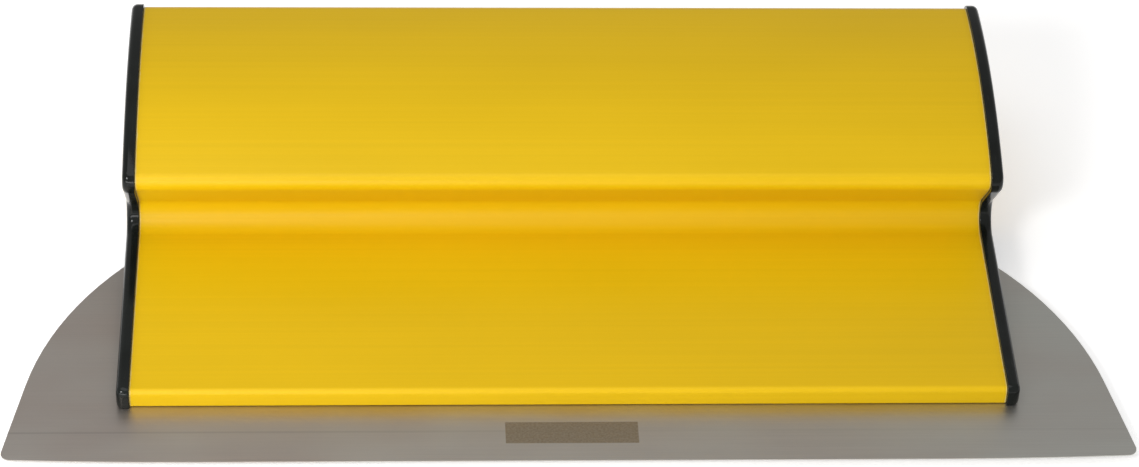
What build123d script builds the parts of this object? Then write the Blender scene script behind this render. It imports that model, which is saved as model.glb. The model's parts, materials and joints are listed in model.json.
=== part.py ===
"""Drywall finishing knife with a full-width extruded handle and a half-moon blade.

X runs along the blade, -Y points to the working edge, +Z is up. The knife lies
flat: z = 0 is its flat underside and y = 0 is the middle of that face. A section
through the handle is drawn in the YZ plane and extruded along X. All lengths are
in millimetres.
"""
from build123d import *
from math import atan, cos, sin, sqrt
import os

# --- Driving dimensions -------------------------------------------------------

BLADE_WIDTH = 254.0          # 10 inch working edge
BLADE_THICKNESS = 0.5
EDGE_REACH = 17.8            # working edge in front of the handle's lip
EDGE_STRAIGHT_HALF = 83.0    # half of the straight middle of the working edge
EDGE_END_RISE = 1.0          # how far the edge ends curve back
EAR_STRAIGHT = 24.0          # the ears start straight at the tips, then turn round
EAR_LEAN = 0.18              # how much the straight stretch leans inwards
EAR_RADIUS = 83.3
TIP_RADIUS = 2.2

EXTRUSION_LENGTH = 198.0
CAP_THICKNESS = 2.9
CAP_PROUD = 0.7              # the caps stand this much outside the handle's section
CAP_EDGE_ROUND = 1.4

CLAMP_THICKNESS = 2.5
BLADE_PLAY = 0.05            # above and below the blade
SEAT_DEPTH = 54.2            # from the lip back to the step behind the blade

# --- Heights and the origin ---------------------------------------------------

BLADE_BOTTOM = CLAMP_THICKNESS + BLADE_PLAY
BLADE_TOP = BLADE_BOTTOM + BLADE_THICKNESS
SEAT = BLADE_TOP + BLADE_PLAY                 # underside of the handle's flange
FOOT_BACK = 63.6                              # distances back from the lip
LIP = -FOOT_BACK / 2                          # y of the lip; y = 0 is mid underside
HANDLE_LENGTH = EXTRUSION_LENGTH + 2 * CAP_THICKNESS
END = EXTRUSION_LENGTH / 2                    # x of the extrusion's sawn ends

# --- Handle section (distance back from the lip, height above the blade seat) ---

FLANGE_FRONT = 4.5           # flange thickness at the lip and at the step
FLANGE_BACK = 7.4
VALLEY = (60.7, FLANGE_BACK)         # where the flange's top would meet the riser
VALLEY_REACH = 9.5                   # the round valley starts this far from there
RIDGE = (45.3, 26.4)                 # corner of the ridge, before rounding
SHELF_BACK = (105.5, 34.8)           # rear top corner
SHELF_CROWN = 4.2                    # rise of the shelf above a straight line
NOSE_UNDER = (104.4, 24.6)           # rear bottom corner
FINGER_HOOK = (66.6, 19.2)           # inner corner behind the riser

LIP_ROUND = 1.3
LIP_UNDER_ROUND = 0.4
RIDGE_ROUND = 2.8
NOSE_ROUND = 4.2
HOOK_ROUND = 8.0
FOOT_ROUND = 1.2

WALL = 1.9
FLANGE_SOLID = 12.0          # in front of the step the handle is solid up to here
WEB = 1.6
WEB_AT = 81.0
PORT_OUTER = 3.3             # radius of the round screw ports
PORT_BORE = 1.45             # radius of the hole in each port
PORT_SOLID = 9.0             # reach of the solid corner beside each port
NOSE_SOLID = 2.3             # the solid nose starts this far in front of its port
RIDGE_PORT = (52.4, 24.5)
NOSE_PORT = (99.6, 30.2)
PORTS = [RIDGE_PORT, NOSE_PORT]
GROOVE_DEPTH = 2.2           # lightening grooves on the flange's underside
GROOVE_WIDTH = 9.0
GROOVES = [10.5, 23.0]

# --- Fasteners ----------------------------------------------------------------

CLAMP_SCREW_PITCH = 42.0
CLAMP_SCREW_COUNT = 5
CLAMP_SCREW_BACK = 39.0      # the row's distance back from the lip
M4_RADIUS = 2.0
M4_HEAD_RADIUS = 3.7
M4_LENGTH = 6.0
M4_SINK = 0.1                # heads sit this far inside the plate's face
INSERT_RADIUS = 3.0
INSERT_FLANGE_RADIUS = 3.6
INSERT_FLANGE = 0.6
INSERT_LENGTH = 3.6
RUNNING_GAP = 0.05           # radial gap between screws and their threads
CAP_SCREW_RADIUS = 1.4
CAP_SCREW_HEAD_RADIUS = 3.1
CAP_SCREW_LENGTH = 13.0
NOTCH_RADIUS = 2.3           # blade notches around the clamp screws
BLADE_BACK_GAP = 0.2         # between the blade's back and the step
HEAD_RIM = 0.2               # straight rim of a countersunk head
M4_SOCKET = 2.5              # across flats
CAP_SOCKET = 2.0
SOCKET_DEPTH = 1.3
CAP_SCREW_SINK = 0.1
HOLE_GAP = 0.15              # around screws in plain holes
CLAMP_SETBACK = 0.9          # plate's front edge behind the lip
CLAMP_CORNER = 3.0
CLAMP_CHAMFER = 0.6
RUN_OUT = 0.6                # cutters for the screws start this far outside the face
CLAMP_ROW = LIP + CLAMP_SCREW_BACK

PLUG_GAP = 0.15              # cap plugs inside the handle's hollows
PLUG_WALL = 1.4
PLUG_DEPTH = 5.0
RISER_PLUG_FRONT = SEAT_DEPTH + WALL + PLUG_GAP
RISER_PLUG_DEPTH = 5.0
RISER_PLUG_HEIGHT = 8.0


def place(point):
    """Turn (distance back from the lip, height above the seat) into (y, z)."""
    return (LIP + point[0], SEAT + point[1])


def toward(start, goal, distance):
    """The point this far from start on the straight line to goal."""
    across, up = goal[0] - start[0], goal[1] - start[1]
    share = distance / sqrt(across ** 2 + up ** 2)
    return (start[0] + across * share, start[1] + up * share)


def crown_point(start, end, rise):
    """Middle of a shallow arc that rises above the straight line start-end."""
    length = sqrt((end[0] - start[0]) ** 2 + (end[1] - start[1]) ** 2)
    across = (-(end[1] - start[1]) / length, (end[0] - start[0]) / length)
    middle = ((start[0] + end[0]) / 2, (start[1] + end[1]) / 2)
    return (middle[0] + across[0] * rise, middle[1] + across[1] * rise)


def nearest(vertices, point):
    """The vertex of a section sketch nearest to a section point."""
    y, z = place(point)
    return min(vertices, key=lambda v: (v.X - y) ** 2 + (v.Y - z) ** 2)


# --- Section sketches, drawn with sketch x = y and sketch y = z ----------------

LIP_TOP = (0, FLANGE_FRONT)
VALLEY_START = toward(VALLEY, LIP_TOP, VALLEY_REACH)
VALLEY_END = toward(VALLEY, RIDGE, VALLEY_REACH)
FLANGE_SLOPE = (VALLEY[0] - LIP_TOP[0], VALLEY[1] - LIP_TOP[1])

ROUNDS = [
    (LIP_TOP, LIP_ROUND),
    (RIDGE, RIDGE_ROUND),
    (SHELF_BACK, NOSE_ROUND),
    (NOSE_UNDER, NOSE_ROUND),
    (FINGER_HOOK, HOOK_ROUND),
]

with BuildSketch() as handle_outline:
    with BuildLine():
        Polyline(place(SHELF_BACK), place(NOSE_UNDER), place(FINGER_HOOK),
                 place((FOOT_BACK, -SEAT)), place((SEAT_DEPTH, -SEAT)),
                 place((SEAT_DEPTH, 0)), place((0, 0)), place(LIP_TOP),
                 place(VALLEY_START))
        TangentArc(place(VALLEY_START), place(VALLEY_END), tangent=FLANGE_SLOPE)
        Line(place(VALLEY_END), place(RIDGE))
        ThreePointArc(place(RIDGE), place(crown_point(RIDGE, SHELF_BACK, SHELF_CROWN)),
                      place(SHELF_BACK))
    make_face()
    for corner, radius in ROUNDS:
        fillet(nearest(handle_outline.vertices(), corner), radius=radius)

with BuildSketch() as hollows:
    add(handle_outline.sketch)
    with Locations(place((0, 0))):
        Rectangle(2 * SEAT_DEPTH, 2 * FLANGE_SOLID, mode=Mode.SUBTRACT)
    offset(amount=-WALL, mode=Mode.REPLACE)
    with Locations(place((WEB_AT, RIDGE[1]))):
        Rectangle(WEB, SHELF_BACK[1], mode=Mode.SUBTRACT)
    with Locations(*[place(port) for port in PORTS]):
        Circle(PORT_OUTER, mode=Mode.SUBTRACT)
    with Locations(place((RIDGE_PORT[0], RIDGE_PORT[1] - PORT_OUTER))):
        # the ridge is solid in front of its port
        Rectangle(PORT_SOLID, PORT_SOLID, align=(Align.MAX, Align.MIN), mode=Mode.SUBTRACT)
    with Locations(place((NOSE_PORT[0] - NOSE_SOLID, NOSE_PORT[1]))):
        # and the nose is solid behind its own
        Rectangle(PORT_SOLID, 2 * PORT_SOLID, align=(Align.MIN, Align.CENTER),
                  mode=Mode.SUBTRACT)

with BuildSketch() as cap_outline:
    add(handle_outline.sketch)
    offset(amount=CAP_PROUD, mode=Mode.REPLACE)
    with Locations(place((0, -SEAT / 2))):
        Rectangle(2 * SEAT_DEPTH, SEAT, mode=Mode.SUBTRACT)
    with Locations((0, -CAP_PROUD)):
        Rectangle(4 * FOOT_BACK, 2 * CAP_PROUD, mode=Mode.SUBTRACT)

with BuildSketch() as plugs:
    add(hollows.sketch.faces().sort_by(Axis.X)[-1])
    offset(amount=-PLUG_GAP, mode=Mode.REPLACE)
    with Locations(place((RISER_PLUG_FRONT, WALL - SEAT + PLUG_GAP))):
        Rectangle(RISER_PLUG_DEPTH, RISER_PLUG_HEIGHT, align=(Align.MIN, Align.MIN))
    offset(amount=-PLUG_WALL, mode=Mode.SUBTRACT)


def port_circles(radius):
    """A circle at each of the two screw ports, in the section."""
    with Locations(*[place(port) for port in PORTS]):
        Circle(radius)


def groove_boxes(gap):
    """The lightening grooves in the section, or a tongue with a gap all round."""
    with Locations(*[place((back, GROOVE_DEPTH / 2)) for back in GROOVES]):
        Rectangle(GROOVE_WIDTH - 2 * gap, GROOVE_DEPTH - 2 * gap)


def clamp_row_circles(radius):
    """A circle at every clamp screw, seen from above."""
    with Locations((0, CLAMP_ROW)):
        with GridLocations(CLAMP_SCREW_PITCH, 1, CLAMP_SCREW_COUNT, 1):
            Circle(radius)


# --- Handle extrusion -----------------------------------------------------------

with BuildPart() as handle_extrusion:
    with BuildSketch(Plane.YZ):
        add(handle_outline.sketch)
        add(hollows.sketch, mode=Mode.SUBTRACT)
    extrude(amount=END, both=True)
    with BuildSketch(Plane.YZ):
        groove_boxes(0)
        port_circles(PORT_BORE)
    extrude(amount=END, both=True, mode=Mode.SUBTRACT)
    with BuildSketch(Plane.XY.offset(SEAT)):
        clamp_row_circles(INSERT_RADIUS)
    extrude(amount=INSERT_LENGTH, mode=Mode.SUBTRACT)
    with BuildSketch(Plane.XY.offset(SEAT)):
        clamp_row_circles(INSERT_FLANGE_RADIUS)
    extrude(amount=INSERT_FLANGE, mode=Mode.SUBTRACT)
    lengthwise = handle_extrusion.edges().filter_by(Axis.X)
    fillet(lengthwise.group_by(Axis.Z)[0].sort_by(Axis.Y)[-1], radius=FOOT_ROUND)
    lengthwise = handle_extrusion.edges().filter_by(Axis.X)
    fillet(lengthwise.group_by(Axis.Y)[0].sort_by(Axis.Z)[0], radius=LIP_UNDER_ROUND)


# --- Press-in steel threads for the clamp screws --------------------------------

with BuildPart() as thread_inserts:
    with BuildSketch(Plane.XY.offset(SEAT)):
        clamp_row_circles(INSERT_FLANGE_RADIUS)
    extrude(amount=INSERT_FLANGE)
    with BuildSketch(Plane.XY.offset(SEAT)):
        clamp_row_circles(INSERT_RADIUS)
    extrude(amount=INSERT_LENGTH)
    with BuildSketch(Plane.XY.offset(SEAT)):
        clamp_row_circles(M4_RADIUS + RUNNING_GAP)
    extrude(amount=INSERT_LENGTH, mode=Mode.SUBTRACT)


# --- Half-moon blade --------------------------------------------------------------

EDGE_Y = LIP - EDGE_REACH
TIP_Y = EDGE_Y + EDGE_END_RISE
BLADE_BACK_Y = LIP + SEAT_DEPTH - BLADE_BACK_GAP


EAR_START = (BLADE_WIDTH / 2 - EAR_LEAN * EAR_STRAIGHT, TIP_Y + EAR_STRAIGHT)
EAR_TURN = atan(EAR_LEAN)
EAR_CENTRE = (EAR_START[0] - EAR_RADIUS * cos(EAR_TURN),
              EAR_START[1] - EAR_RADIUS * sin(EAR_TURN))
EAR_END_X = EAR_CENTRE[0] + sqrt(EAR_RADIUS ** 2 - (BLADE_BACK_Y - EAR_CENTRE[1]) ** 2)


with BuildPart() as blade:
    with BuildSketch(Plane.XY.offset(BLADE_BOTTOM)) as blade_outline:
        with BuildLine():
            edge = Line((0, EDGE_Y), (EDGE_STRAIGHT_HALF, EDGE_Y))
            TangentArc(edge @ 1, (BLADE_WIDTH / 2, TIP_Y), tangent=edge % 1)
            side = Line((BLADE_WIDTH / 2, TIP_Y), EAR_START)
            TangentArc(EAR_START, (EAR_END_X, BLADE_BACK_Y), tangent=side % 1)
            Line((EAR_END_X, BLADE_BACK_Y), (0, BLADE_BACK_Y))
            mirror(about=Plane.YZ)
        make_face()
        tips = blade_outline.vertices().filter_by(lambda v: abs(v.Y - TIP_Y) < BLADE_THICKNESS)
        fillet(tips, radius=TIP_RADIUS)
    extrude(amount=BLADE_THICKNESS)
    with BuildSketch(Plane.XY.offset(BLADE_BOTTOM)):
        clamp_row_circles(NOTCH_RADIUS)
        with Locations((0, (CLAMP_ROW + BLADE_BACK_Y) / 2)):
            with GridLocations(CLAMP_SCREW_PITCH, 1, CLAMP_SCREW_COUNT, 1):
                Rectangle(2 * NOTCH_RADIUS, BLADE_BACK_Y - CLAMP_ROW)
    extrude(amount=BLADE_THICKNESS, mode=Mode.SUBTRACT)


# --- Screws -----------------------------------------------------------------------


def countersunk_screw(shank, head, length, socket):
    """A screw with a 90 degree head: its face at z = 0, its shank up +Z."""
    cone_top = HEAD_RIM + head - shank
    with BuildPart() as screw:
        with BuildSketch(Plane.XZ):
            with BuildLine():
                Polyline((0, 0), (head, 0), (head, HEAD_RIM), (shank, cone_top),
                         (shank, length - shank / 2), (shank / 2, length), (0, length),
                         close=True)
            make_face()
        revolve(axis=Axis.Z)
        with BuildSketch():
            RegularPolygon(socket / 2, 6, major_radius=False)
        extrude(amount=SOCKET_DEPTH, mode=Mode.SUBTRACT)
    return screw.part


def countersunk_room(shank, head, length):
    """The hole for such a screw, open past its face; a little wider all round."""
    shank = shank + HOLE_GAP
    head = head + HOLE_GAP
    with BuildPart() as room:
        with BuildSketch(Plane.XZ):
            with BuildLine():
                Polyline((0, -RUN_OUT), (head, -RUN_OUT), (head, HEAD_RIM),
                         (shank, HEAD_RIM + head - shank), (shank, length), (0, length),
                         close=True)
            make_face()
        revolve(axis=Axis.Z)
    return room.part


# --- Clamp plate under the blade --------------------------------------------------

CLAMP_FRONT = LIP + CLAMP_SETBACK
CLAMP_DEPTH = BLADE_BACK_Y - CLAMP_FRONT

with BuildPart() as clamp_plate:
    with BuildSketch():
        with Locations((0, CLAMP_FRONT + CLAMP_DEPTH / 2)):
            RectangleRounded(HANDLE_LENGTH - 2 * CAP_EDGE_ROUND, CLAMP_DEPTH, CLAMP_CORNER)
    extrude(amount=CLAMP_THICKNESS)
    chamfer(clamp_plate.faces().sort_by(Axis.Z)[0].outer_wire().edges(), CLAMP_CHAMFER)
    with Locations((0, CLAMP_ROW, M4_SINK)):
        with GridLocations(CLAMP_SCREW_PITCH, 1, CLAMP_SCREW_COUNT, 1):
            add(countersunk_room(M4_RADIUS, M4_HEAD_RADIUS, M4_LENGTH), mode=Mode.SUBTRACT)

clamp_screw = countersunk_screw(M4_RADIUS, M4_HEAD_RADIUS, M4_LENGTH, M4_SOCKET)
cap_screw = countersunk_screw(CAP_SCREW_RADIUS, CAP_SCREW_HEAD_RADIUS, CAP_SCREW_LENGTH,
                              CAP_SOCKET)

with BuildPart() as clamp_screws:
    with Locations((0, CLAMP_ROW, M4_SINK)):
        with GridLocations(CLAMP_SCREW_PITCH, 1, CLAMP_SCREW_COUNT, 1):
            add(clamp_screw)


# --- End caps ---------------------------------------------------------------------

cap_screw_room = countersunk_room(CAP_SCREW_RADIUS, CAP_SCREW_HEAD_RADIUS, CAP_SCREW_LENGTH)

HEAD_FACE = END + CAP_THICKNESS - CAP_SCREW_SINK     # x of the right cap screws' faces

with BuildPart() as left_end_cap:
    with BuildSketch(Plane.YZ.offset(-END)):
        add(cap_outline.sketch)
    extrude(amount=-CAP_THICKNESS)
    outer_face = left_end_cap.faces().sort_by(Axis.X)[0]
    fillet(outer_face.outer_wire().edges(), radius=CAP_EDGE_ROUND)
    with BuildSketch(Plane.YZ.offset(-END)):
        add(plugs.sketch)
    extrude(amount=PLUG_DEPTH)
    with BuildSketch(Plane.YZ.offset(-END)):
        groove_boxes(PLUG_GAP)
    extrude(amount=PLUG_DEPTH)
    for port in PORTS:
        y, z = place(port)
        with Locations(Location((-HEAD_FACE, y, z), (0, 90, 0))):
            add(cap_screw_room, mode=Mode.SUBTRACT)

with BuildPart() as left_cap_screws:
    for port in PORTS:
        y, z = place(port)
        with Locations(Location((-HEAD_FACE, y, z), (0, 90, 0))):
            add(cap_screw)

with BuildPart() as right_end_cap:
    mirror(left_end_cap.part, about=Plane.YZ)

with BuildPart() as right_cap_screws:
    mirror(left_cap_screws.part, about=Plane.YZ)


# --- Labels and files ---------------------------------------------------------------

PIECES = {
    "handle_extrusion": handle_extrusion,
    "thread_inserts": thread_inserts,
    "blade": blade,
    "clamp_plate": clamp_plate,
    "clamp_screws": clamp_screws,
    "left_end_cap": left_end_cap,
    "left_cap_screws": left_cap_screws,
    "right_end_cap": right_end_cap,
    "right_cap_screws": right_cap_screws,
}

os.makedirs("parts", exist_ok=True)
for name, piece in PIECES.items():
    piece.part.label = name
    export_step(piece.part, f"parts/{name}.step")
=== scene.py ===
"""Looks of a drywall finishing knife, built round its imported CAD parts.

X runs along the blade, -Y points to the working edge and +Z is up, in metres.
Every shown piece is made from one CAD node: its seams are welded, its flat faces are
joined and its sharp edges get the small rounds that real parts have. The materials
are shader nodes only, and take their places from the same frame.
"""
import json
from math import cos, radians, sin

import bmesh
import bpy
from mathutils import Matrix, Vector

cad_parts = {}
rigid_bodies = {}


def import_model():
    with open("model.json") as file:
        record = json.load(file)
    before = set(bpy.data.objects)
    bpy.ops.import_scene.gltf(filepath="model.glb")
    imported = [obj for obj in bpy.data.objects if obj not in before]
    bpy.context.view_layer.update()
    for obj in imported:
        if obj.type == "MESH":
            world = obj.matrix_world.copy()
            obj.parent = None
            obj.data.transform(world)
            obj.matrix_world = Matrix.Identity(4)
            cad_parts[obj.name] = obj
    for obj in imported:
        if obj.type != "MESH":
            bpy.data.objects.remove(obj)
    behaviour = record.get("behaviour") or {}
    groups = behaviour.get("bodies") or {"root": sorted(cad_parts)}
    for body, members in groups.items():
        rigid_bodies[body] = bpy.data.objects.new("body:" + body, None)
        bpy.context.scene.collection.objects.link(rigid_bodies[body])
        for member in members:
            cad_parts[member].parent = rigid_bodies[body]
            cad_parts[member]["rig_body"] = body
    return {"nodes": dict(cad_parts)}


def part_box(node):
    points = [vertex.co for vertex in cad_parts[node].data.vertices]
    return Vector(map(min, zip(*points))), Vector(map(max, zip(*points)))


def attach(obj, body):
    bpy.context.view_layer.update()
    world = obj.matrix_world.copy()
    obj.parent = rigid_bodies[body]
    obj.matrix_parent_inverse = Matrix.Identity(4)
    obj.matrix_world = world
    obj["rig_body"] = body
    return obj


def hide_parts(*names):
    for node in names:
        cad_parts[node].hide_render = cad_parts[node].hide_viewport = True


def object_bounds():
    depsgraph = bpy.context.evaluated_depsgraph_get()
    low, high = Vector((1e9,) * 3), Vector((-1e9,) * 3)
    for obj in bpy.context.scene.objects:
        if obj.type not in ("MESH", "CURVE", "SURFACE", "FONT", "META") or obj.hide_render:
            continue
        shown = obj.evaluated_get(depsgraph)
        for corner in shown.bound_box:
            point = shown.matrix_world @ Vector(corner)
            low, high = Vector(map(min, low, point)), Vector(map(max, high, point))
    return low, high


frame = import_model()
CAD_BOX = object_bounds()
MM = 0.001

# --- Places, taken from the frame ----------------------------------------------

HANDLE_LOW, HANDLE_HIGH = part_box("handle_extrusion")
BLADE_LOW, BLADE_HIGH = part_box("blade")
SAWN_END = HANDLE_HIGH.x                # the handle's two ends are at + and - this
EDGE_Y = BLADE_LOW.y                    # the blade's working edge
LIP_Y = HANDLE_LOW.y

WELD = 0.001 * MM
SHARP = radians(30)                     # edges that turn more than this are rounded
FLAT = radians(0.05)                    # faces that turn less than this are joined
END_TILT = radians(20)                  # faces this close to square on are sawn ends

GRIND_DEPTH = 9.4 * MM                  # the ground strip along the working edge
GRIND_THINNING = 0.11 * MM              # taken off each face at the working edge
GRIND_Y = EDGE_Y + GRIND_DEPTH

PATCH_WIDTH = 30 * MM                   # plain etched rectangle, in the middle of the blade
PATCH_DEPTH = 7 * MM
PATCH_Y = (EDGE_Y + LIP_Y) / 2

# How far each kind of edge is rounded off.
SAWN_ROUND = 0.25 * MM
MOULDED_ROUND = 0.15 * MM
PLATE_ROUND = 0.15 * MM
SCREW_ROUND = 0.08 * MM
BLADE_ROUND = 0.08 * MM

# --- Shader helpers --------------------------------------------------------------


def from_screen(red, green, blue):
    """An 8-bit screen colour as linear light."""
    def linear(value):
        value = value / 255
        return value / 12.92 if value <= 0.04045 else ((value + 0.055) / 1.055) ** 2.4
    return (linear(red), linear(green), linear(blue), 1)


class Shader:
    """One material and short calls that add nodes to it. Values may be numbers or sockets."""

    def __init__(self, name):
        self.material = bpy.data.materials.new(name)
        self.material.use_nodes = True
        self.tree = self.material.node_tree
        self.tree.nodes.clear()
        self.place = self.add("ShaderNodeTexCoord").outputs["Object"]
        split = self.add("ShaderNodeSeparateXYZ", Vector=self.place)
        self.x, self.y, self.z = split.outputs

    def put(self, socket, value):
        """Links a socket to an input, or sets the input to a number."""
        if isinstance(value, bpy.types.NodeSocket):
            self.tree.links.new(value, socket)
        else:
            socket.default_value = value

    def add(self, kind, **inputs):
        """A node with these inputs; spaces in their names are written as _."""
        node = self.tree.nodes.new(kind)
        for name, value in inputs.items():
            self.put(node.inputs[name.replace("_", " ")], value)
        return node

    def math(self, operation, first, second=0.0, third=0.0):
        """One step of arithmetic on up to three values."""
        node = self.tree.nodes.new("ShaderNodeMath")
        node.operation = operation
        for socket, value in zip(node.inputs, (first, second, third)):
            self.put(socket, value)
        return node.outputs[0]

    def noise(self, size, stretch=(1, 1, 1), detail=2.0, roughness=0.5, shift=0.0):
        """Soft noise from 0 to 1 with features of this size, drawn out by stretch."""
        scale = [1 / (size * s) for s in stretch]
        moved = self.add("ShaderNodeMapping", Vector=self.place,
                         Location=(shift, shift, shift), Scale=scale)
        node = self.add("ShaderNodeTexNoise", Vector=moved.outputs[0], Scale=1.0,
                        Detail=detail, Roughness=roughness)
        return node.outputs["Fac"]

    def span(self, value, low, high, out_low=0.0, out_high=1.0, smooth=False):
        """Remaps value from low..high to out_low..out_high and stops at both ends."""
        node = self.tree.nodes.new("ShaderNodeMapRange")
        node.interpolation_type = "SMOOTHSTEP" if smooth else "LINEAR"
        for socket, number in zip(node.inputs, (value, low, high, out_low, out_high)):
            self.put(socket, number)
        return node.outputs[0]

    def blend(self, share, first, second, how="MIX"):
        """Goes from the first colour to the second as share runs from 0 to 1."""
        node = self.tree.nodes.new("ShaderNodeMix")
        node.data_type = "RGBA"
        node.blend_type = how
        self.put(node.inputs[0], share)
        self.put(node.inputs[6], first)
        self.put(node.inputs[7], second)
        return node.outputs[2]

    def tint(self, colour, share, amount):
        """Brightens and darkens a colour by up to amount as share runs from 0 to 1."""
        gain = self.span(share, 0.25, 0.75, 1 - amount, 1 + amount)
        node = self.add("ShaderNodeCombineXYZ", X=gain, Y=gain, Z=gain)
        return self.blend(1.0, colour, node.outputs[0], how="MULTIPLY")

    def bump(self, height, depth, after=None):
        """Surface relief: height from 0 to 1 stands for this depth in metres."""
        node = self.add("ShaderNodeBump", Height=height, Strength=1.0, Distance=depth)
        if after is not None:
            self.put(node.inputs["Normal"], after)
        return node.outputs["Normal"]

    def surface(self, **inputs):
        """Finishes the material with one Principled shader."""
        shader = self.add("ShaderNodeBsdfPrincipled", **inputs)
        self.add("ShaderNodeOutputMaterial", Surface=shader.outputs[0])
        return self.material


# --- Materials -------------------------------------------------------------------


def yellow_coating():
    """Semi-gloss yellow coat over the extrusion's fine lengthwise die lines."""
    s = Shader("yellow_coating")
    yellow = (0.70, 0.443, 0.003, 1)
    thin_coat = (0.72, 0.62, 0.30, 1)
    die_lines = s.noise(0.9 * MM, stretch=(260, 1, 1), detail=3.0, roughness=0.65)
    clouds = s.noise(38 * MM, stretch=(2.2, 1, 1), detail=2.0, shift=4.0)
    peel = s.noise(0.7 * MM, detail=1.0)
    colour = s.tint(yellow, clouds, 0.035)
    colour = s.tint(colour, die_lines, 0.03)
    # the coat thins out and shows pale at the sawn ends
    ragged = s.math("MULTIPLY", s.noise(1.6 * MM, detail=3.0), 0.5 * MM)
    from_end = s.math("ADD", s.math("SUBTRACT", SAWN_END, s.math("ABSOLUTE", s.x)), ragged)
    worn = s.span(from_end, 0.3 * MM, 0.75 * MM, 0.7, 0.0, smooth=True)
    colour = s.blend(worn, colour, thin_coat)
    rough = s.span(clouds, 0.3, 0.7, 0.34, 0.42)
    rough = s.math("ADD", rough, s.span(die_lines, 0.3, 0.7, -0.03, 0.03))
    normal = s.bump(die_lines, 0.012 * MM)
    normal = s.bump(peel, 0.006 * MM, after=normal)
    return s.surface(Base_Color=colour, Roughness=rough, Normal=normal, IOR=1.48,
                     Specular_IOR_Level=0.22)


def bare_aluminium(name, lines_along, tone):
    """Mill-finish aluminium with fine drawing or saw lines along one axis."""
    s = Shader(name)
    stretch = [60 if axis == lines_along else 1 for axis in "xyz"]
    lines = s.noise(0.35 * MM, stretch=stretch, detail=3.0, roughness=0.7)
    stains = s.noise(16 * MM, detail=3.0, shift=2.0)
    colour = s.tint(tone, lines, 0.10)
    colour = s.tint(colour, stains, 0.06)
    rough = s.span(stains, 0.3, 0.7, 0.34, 0.46)
    normal = s.bump(lines, 0.02 * MM)
    return s.surface(Base_Color=colour, Metallic=1.0, Roughness=rough, Normal=normal)


def stainless_sheet():
    """Satin stainless sheet brushed lengthwise, with painted shade along the ground strip's
    crease and an etched rectangle.
    """
    s = Shader("stainless_sheet")
    warm = from_screen(182, 172, 164)
    cool = from_screen(187, 187, 181)
    # painted shade colour for the thin line along the grind crease
    crease_shade = (0.12, 0.11, 0.10, 1)
    burnt = from_screen(118, 104, 80)
    brushing = s.noise(0.28 * MM, stretch=(140, 1, 1), detail=3.0, roughness=0.7)
    smudges = s.noise(22 * MM, stretch=(1.8, 1, 1), detail=3.0, shift=7.0)
    # the steel looks cooler towards the right
    to_right = s.span(s.x, -100 * MM, 100 * MM, 0.0, 0.6)
    share = s.math("ADD", to_right, s.span(smudges, 0.35, 0.65, 0.0, 0.4))
    colour = s.blend(share, warm, cool)
    colour = s.tint(colour, brushing, 0.05)
    # painted shade: a thin dark line along the crease where the ground strip begins, strongest
    # at the left end and fading towards the right
    from_line = s.math("ABSOLUTE", s.math("SUBTRACT", s.y, GRIND_Y))
    crease_shade_share = s.span(from_line, 0.1 * MM, 0.45 * MM, 0.2, 0.0, smooth=True)
    crease_shade_share = s.math("MULTIPLY", crease_shade_share, s.span(s.x, -110 * MM, 20 * MM, 1.0, 0.25))
    colour = s.blend(crease_shade_share, colour, crease_shade)
    etched = etched_rectangle(s)
    colour = s.blend(etched, colour, burnt)
    rough = s.span(smudges, 0.3, 0.7, 0.39, 0.46)
    rough = s.math("ADD", rough, s.span(brushing, 0.3, 0.7, -0.03, 0.03))
    rough = s.math("MULTIPLY_ADD", etched, 0.15, rough)
    metal = s.math("MULTIPLY_ADD", etched, -0.35, 1.0)
    normal = s.bump(brushing, 0.004 * MM)
    return s.surface(Base_Color=colour, Metallic=metal, Roughness=rough, Normal=normal)


def etched_rectangle(s):
    """Share of etching at a point of the blade: one plain rectangle on its upper face."""
    soft = 0.18 * MM
    half_width = PATCH_WIDTH / 2
    half_depth = PATCH_DEPTH / 2
    across = s.math("ABSOLUTE", s.x)
    along = s.math("ABSOLUTE", s.math("SUBTRACT", s.y, PATCH_Y))
    inside_x = s.span(across, half_width - soft, half_width, 1.0, 0.0)
    inside_y = s.span(along, half_depth - soft, half_depth, 1.0, 0.0)
    shape = s.math("MULTIPLY", inside_x, inside_y)
    grain = s.span(s.noise(0.5 * MM, detail=2.0, shift=3.0), 0.3, 0.7, 0.72, 0.92)
    up_face = s.span(s.z, BLADE_HIGH.z - 0.2 * MM, BLADE_HIGH.z - 0.15 * MM)
    return s.math("MULTIPLY", s.math("MULTIPLY", shape, grain), up_face)


def black_plastic():
    """Glossy black moulded plastic with a very fine grain and light handling scratches."""
    s = Shader("black_plastic")
    black = (0.005, 0.006, 0.005, 1)
    hazy_black = (0.009, 0.011, 0.010, 1)
    scratch_grey = (0.05, 0.05, 0.05, 1)
    grain = s.noise(0.35 * MM, detail=2.0)
    haze = s.noise(9 * MM, detail=3.0, shift=5.0)
    scratches = s.noise(0.25 * MM, stretch=(1, 30, 4), detail=2.0, shift=9.0)
    colour = s.blend(s.span(haze, 0.3, 0.7), black, hazy_black)
    scratched = s.span(scratches, 0.66, 0.78)
    colour = s.blend(s.math("MULTIPLY", scratched, 0.25), colour, scratch_grey)
    rough = s.span(haze, 0.3, 0.7, 0.08, 0.15)
    rough = s.math("MULTIPLY_ADD", scratched, 0.15, rough)
    normal = s.bump(grain, 0.006 * MM)
    return s.surface(Base_Color=colour, Roughness=rough, Normal=normal, IOR=1.52,
                     Specular_IOR_Level=0.20)


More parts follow.
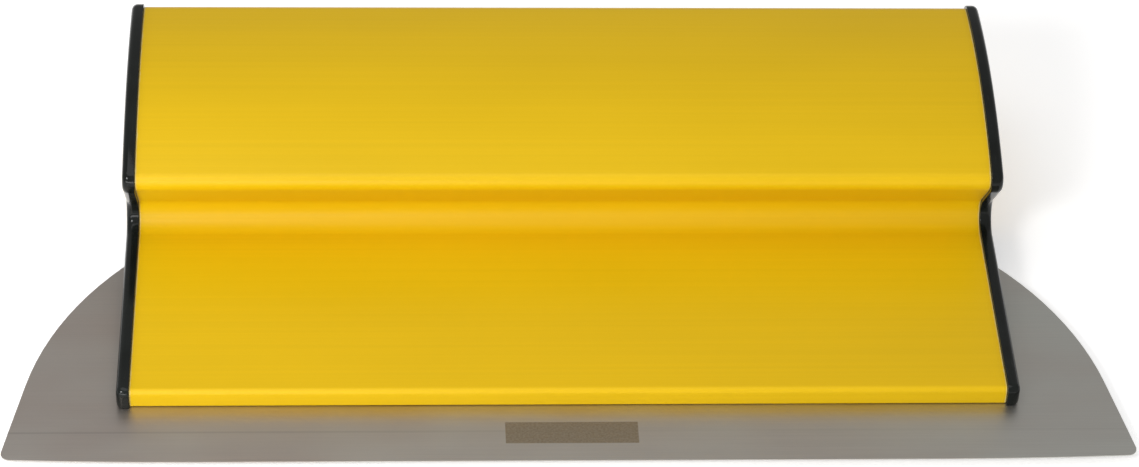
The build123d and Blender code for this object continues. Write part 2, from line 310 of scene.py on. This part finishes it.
def zinc_plate():
    """Bright zinc plate, a little blue, with turning marks and matt spots."""
    s = Shader("zinc_plate")
    bluish = (0.56, 0.58, 0.62, 1)
    yellowish = (0.66, 0.65, 0.60, 1)
    spots = s.noise(1.4 * MM, detail=3.0)
    marks = s.noise(0.2 * MM, stretch=(4, 4, 1), detail=2.0, shift=1.0)
    colour = s.blend(s.span(spots, 0.3, 0.7), bluish, yellowish)
    rough = s.span(spots, 0.3, 0.7, 0.20, 0.36)
    normal = s.bump(marks, 0.006 * MM)
    return s.surface(Base_Color=colour, Metallic=1.0, Roughness=rough, Normal=normal)


def pale_floor():
    """A nearly white, slightly cloudy floor that glows a little."""
    s = Shader("pale_floor")
    clouds = s.noise(150 * MM, detail=2.0)
    colour = s.tint((0.93, 0.93, 0.93, 1), clouds, 0.004)
    return s.surface(Base_Color=colour, Roughness=0.8, Emission_Color=colour,
                     Emission_Strength=0.38)


# --- Pieces ----------------------------------------------------------------------


def welded(node):
    """A CAD node's mesh with its seams closed and the triangles of flat faces joined."""
    mesh = bmesh.new()
    mesh.from_mesh(frame["nodes"][node].data)
    bmesh.ops.remove_doubles(mesh, verts=mesh.verts, dist=WELD)
    bmesh.ops.dissolve_limit(mesh, angle_limit=FLAT, verts=mesh.verts, edges=mesh.edges)
    return mesh


def round_edges(mesh, size):
    """Rounds every sharp edge of a closed mesh."""
    edges = [e for e in mesh.edges if e.is_manifold and e.calc_face_angle() > SHARP]
    bmesh.ops.bevel(mesh, geom=edges, offset=size, offset_type="OFFSET", segments=2,
                    profile=0.5, affect="EDGES", clamp_overlap=False, loop_slide=True)
    bmesh.ops.recalc_face_normals(mesh, faces=mesh.faces)


def piece(name, node, mesh, materials):
    """Makes the shown object for a CAD node and lets it ride on the node's body."""
    data = bpy.data.meshes.new(name)
    for material in materials:
        data.materials.append(material)
    mesh.to_mesh(data)
    mesh.free()
    data.polygons.foreach_set("use_smooth", [True] * len(data.polygons))
    data.set_sharp_from_angle(angle=SHARP)
    made = bpy.data.objects.new(name, data)
    bpy.context.scene.collection.objects.link(made)
    # large flat faces keep their own shading beside the small rounds
    normals = made.modifiers.new("face_weighted_normals", "WEIGHTED_NORMAL")
    normals.keep_sharp = True
    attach(made, frame["nodes"][node]["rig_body"])
    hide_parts(node)


def plain_piece(name, node, rounding, material):
    """A piece of one material with all its sharp edges rounded alike."""
    mesh = welded(node)
    round_edges(mesh, rounding)
    piece(name, node, mesh, [material])


def coated_handle(skin, metal):
    """The extrusion: coated outside, bare metal on its sawn ends and in its hollows."""
    mesh = welded("handle_extrusion")
    round_edges(mesh, SAWN_ROUND)
    mesh.faces.ensure_lookup_table()
    # the flat ends; every face reached from the top without crossing them is outside
    ends = {f for f in mesh.faces if abs(f.normal.x) > cos(END_TILT)}
    skin_faces = [f for f in mesh.faces if f not in ends]
    top = max(skin_faces, key=lambda f: f.calc_center_median().z)
    outside = {top}
    waiting = [top]
    while waiting:
        for edge in waiting.pop().edges:
            for face in edge.link_faces:
                if face not in outside and face not in ends:
                    outside.add(face)
                    waiting.append(face)
    for face in mesh.faces:
        face.material_index = 0 if face in outside else 1
    piece("coated_handle", "handle_extrusion", mesh, [skin, metal])


def ground_blade(material):
    """The blade, thinned on both faces towards its working edge."""
    mesh = welded("blade")
    bmesh.ops.bisect_plane(mesh, geom=mesh.verts[:] + mesh.edges[:] + mesh.faces[:],
                           plane_co=(0, GRIND_Y, 0), plane_no=(0, 1, 0))
    middle = (BLADE_LOW.z + BLADE_HIGH.z) / 2
    for vert in mesh.verts:
        share = max(0.0, (GRIND_Y - vert.co.y) / GRIND_DEPTH)
        side = 1 if vert.co.z > middle else -1
        vert.co.z -= side * share * GRIND_THINNING
    round_edges(mesh, BLADE_ROUND)
    piece("ground_blade", "blade", mesh, [material])


# --- The knife ---------------------------------------------------------------------

mill_finish = bare_aluminium("mill_finish", "x", (0.60, 0.60, 0.61, 1))
saw_cut = bare_aluminium("saw_cut", "y", (0.52, 0.52, 0.53, 1))
plastic = black_plastic()
zinc = zinc_plate()

coated_handle(yellow_coating(), saw_cut)
ground_blade(stainless_sheet())
plain_piece("drawn_clamp_plate", "clamp_plate", PLATE_ROUND, mill_finish)
plain_piece("plated_clamp_screws", "clamp_screws", SCREW_ROUND, zinc)
plain_piece("plated_thread_inserts", "thread_inserts", SCREW_ROUND, zinc)
for side in ("left", "right"):
    plain_piece(f"moulded_{side}_cap", f"{side}_end_cap", MOULDED_ROUND, plastic)
    plain_piece(f"plated_{side}_cap_screws", f"{side}_cap_screws", SCREW_ROUND, zinc)


# --- Floor, light and camera -------------------------------------------------------


FLOOR_HALF = 6.0
FLOOR_GAP = 0.02 * MM            # the floor lies this far below the knife


def floor():
    """A flat square floor under the knife."""
    data = bpy.data.meshes.new("floor")
    turns = [(-1, -1), (1, -1), (1, 1), (-1, 1)]
    corners = [(x * FLOOR_HALF, y * FLOOR_HALF, 0) for x, y in turns]
    data.from_pydata(corners, [], [(0, 1, 2, 3)])
    data.materials.append(pale_floor())
    made = bpy.data.objects.new("floor", data)
    made.location.z = CAD_BOX[0].z - FLOOR_GAP
    bpy.context.scene.collection.objects.link(made)


WORLD_LEVEL = 0.64               # mean brightness of the surroundings
WORLD_LEAN = (0.0, -0.04, 0.0)   # and how it grows towards the front
BACKDROP = (0.85, 0.85, 0.85, 1)  # what the camera sees behind the floor


def studio_world():
    """Even grey-white surroundings; the camera itself sees them as a pale backdrop."""
    world = bpy.data.worlds.new("studio")
    bpy.context.scene.world = world
    world.use_nodes = True
    tree = world.node_tree
    tree.nodes.clear()
    rays = tree.nodes.new("ShaderNodeLightPath")
    way = tree.nodes.new("ShaderNodeTexCoord")
    lean = tree.nodes.new("ShaderNodeVectorMath")
    lean.operation = "DOT_PRODUCT"
    lean.inputs[1].default_value = WORLD_LEAN
    level = tree.nodes.new("ShaderNodeMath")
    level.operation = "ADD"
    level.inputs[1].default_value = WORLD_LEVEL
    around = tree.nodes.new("ShaderNodeBackground")
    tree.links.new(way.outputs["Generated"], lean.inputs[0])
    tree.links.new(lean.outputs["Value"], level.inputs[0])
    tree.links.new(level.outputs[0], around.inputs["Strength"])
    seen = tree.nodes.new("ShaderNodeBackground")
    seen.inputs["Color"].default_value = BACKDROP
    mix = tree.nodes.new("ShaderNodeMixShader")
    out = tree.nodes.new("ShaderNodeOutputWorld")
    tree.links.new(rays.outputs["Is Camera Ray"], mix.inputs[0])
    tree.links.new(around.outputs[0], mix.inputs[1])
    tree.links.new(seen.outputs[0], mix.inputs[2])
    tree.links.new(mix.outputs[0], out.inputs["Surface"])


def soft_box(name, place, aim, width, depth, power):
    """A rectangular light at a place, facing its aim."""
    light = bpy.data.lights.new(name, "AREA")
    light.shape = "RECTANGLE"
    light.size = width
    light.size_y = depth
    light.energy = power
    made = bpy.data.objects.new(name, light)
    made.location = place
    made.rotation_euler = (Vector(aim) - Vector(place)).to_track_quat("-Z", "Y").to_euler()
    bpy.context.scene.collection.objects.link(made)


def camera():
    """Looks down on the knife from the front, a little left of its middle."""
    place = Vector((-0.0449, -0.6427, 0.5708))
    pitch = radians(40.24)
    yaw = radians(3.075)
    roll = radians(-0.08)
    ahead = Vector((0, cos(pitch), -sin(pitch)))
    side = Vector((1, 0, 0))
    up = Vector((0, sin(pitch), cos(pitch)))
    turned_ahead = cos(yaw) * ahead + sin(yaw) * side
    turned_side = cos(yaw) * side - sin(yaw) * ahead
    right = cos(roll) * turned_side + sin(roll) * up
    top = cos(roll) * up - sin(roll) * turned_side
    data = bpy.data.cameras.new("camera")
    data.lens = 116.9
    data.sensor_width = 36
    data.clip_start = 0.01
    made = bpy.data.objects.new("camera", data)
    turn = Matrix((right, top, -turned_ahead)).transposed().to_4x4()
    made.matrix_world = Matrix.Translation(place) @ turn
    bpy.context.scene.collection.objects.link(made)
    bpy.context.scene.camera = made


floor()
studio_world()
soft_box("key", place=(-0.28, -0.42, 0.42), aim=(0, 0, 0.02), width=0.16, depth=0.12, power=1.65)
soft_box("low_front", place=(-0.20, -0.36, 0.10), aim=(-0.05, 0, 0.01), width=0.4, depth=0.08,
         power=0.60)
soft_box("overhead", place=(-0.1, -0.1, 0.6), aim=(0, 0, 0), width=0.5, depth=0.3, power=0.75)
camera()
bpy.context.scene.view_settings.view_transform = "Standard"
